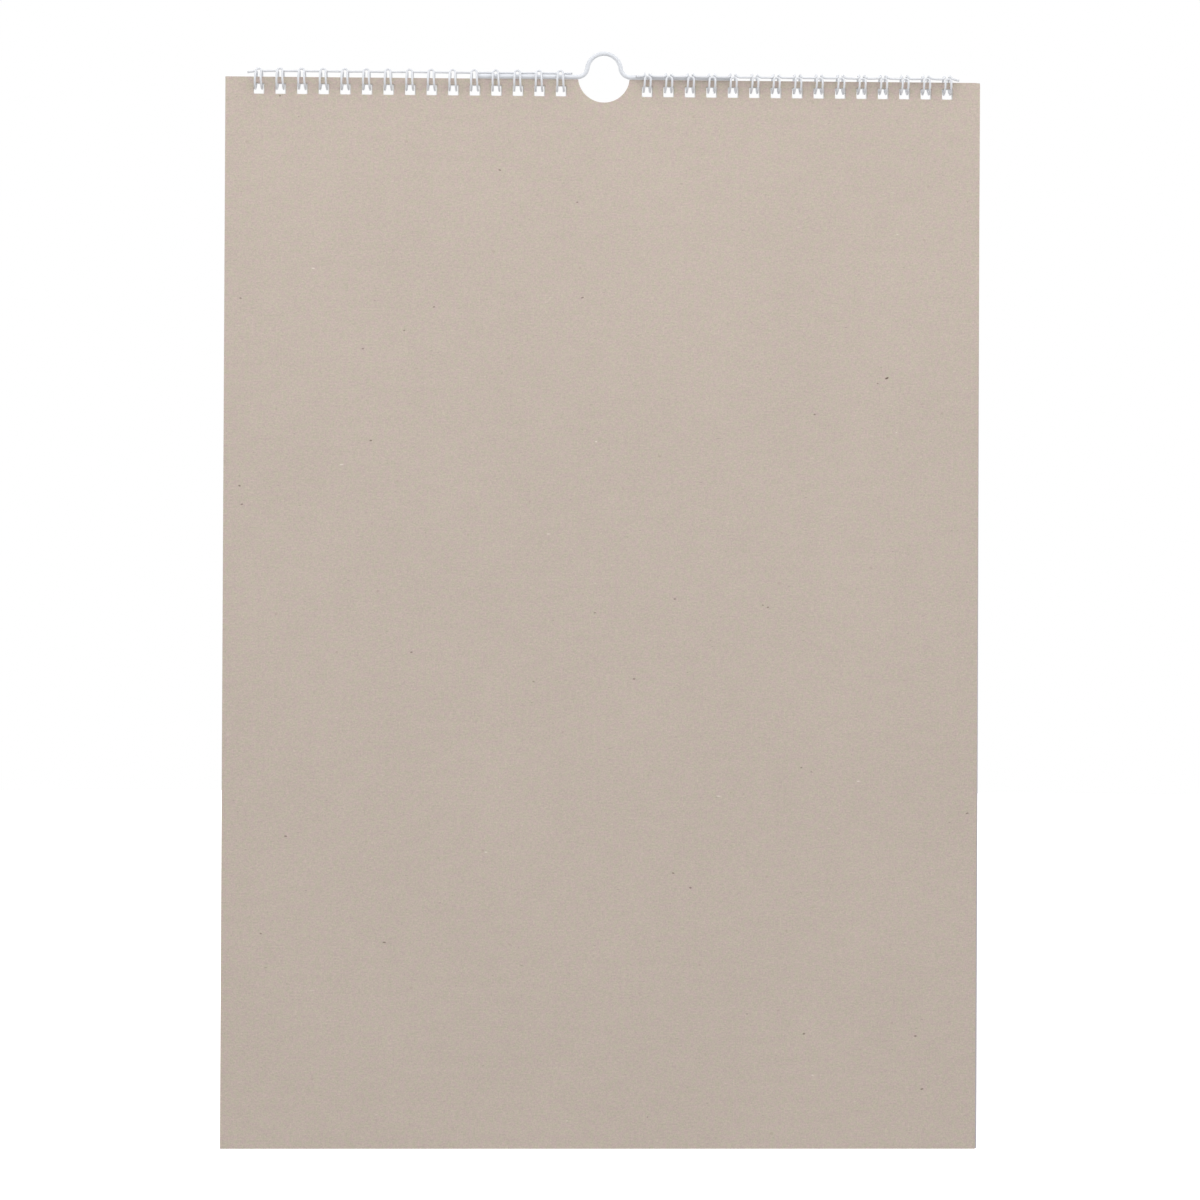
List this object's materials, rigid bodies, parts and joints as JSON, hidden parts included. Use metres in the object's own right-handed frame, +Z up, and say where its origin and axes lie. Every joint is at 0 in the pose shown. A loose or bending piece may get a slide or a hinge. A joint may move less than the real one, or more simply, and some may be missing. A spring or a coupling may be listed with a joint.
{
  "type": "wall calendar",
  "caption": "Wire-bound wall calendar: greyboard back, month sheets and cover on white twin-loop wire, with a bent wire hanger in a thumb notch.",
  "frame": {"origin": "the nail seat: the underside of the hanger's arch, in the plane of the hanger wire", "axes": "+Z up as it hangs, -Y out of the printed front, +Y out of the greyboard back towards the wall, +X to the right as seen from the front"},
  "size_m": [0.297, 0.008, 0.4311],
  "materials": {
    "greyboard": "matte",
    "page_paper": "matte",
    "cover_paper": "satin",
    "loop_wire": "satin",
    "hanger_wire": "satin"
  },
  "bodies": {
    "hanger": {"hanger": "hanger_wire"},
    "back_board": {"back_board": "greyboard"},
    "wire_left": {"wire_left": "loop_wire"},
    "wire_right": {"wire_right": "loop_wire"},
    "page_block": {"page_block": "page_paper"},
    "cover_sheet": {"cover_sheet": "cover_paper"}
  },
  "joints": [
    {"name": "calendar_swing", "type": "hinge", "parent": "hanger", "child": "back_board", "pos_m": [0, 0, -0.00843], "axis": [1, 0, 0], "range_deg": [-135, 135]},
    {"name": "wire_left_turn", "type": "hinge", "parent": "back_board", "child": "wire_left", "pos_m": [-0.07, -0.00122, -0.0103], "axis": [1, 0, 0], "range_deg": [-84, 66]},
    {"name": "wire_right_turn", "type": "hinge", "parent": "back_board", "child": "wire_right", "pos_m": [0.07, -0.00122, -0.0103], "axis": [1, 0, 0], "range_deg": [-150, 0]},
    {"name": "pages_lift", "type": "hinge", "parent": "back_board", "child": "page_block", "pos_m": [0, -0.00062, -0.00936], "axis": [-1, 0, 0], "range_deg": [0, 30]},
    {"name": "cover_lift", "type": "hinge", "parent": "page_block", "child": "cover_sheet", "pos_m": [0, -0.00137, -0.00971], "axis": [-1, 0, 0], "range_deg": [0, 60]}
  ]
}
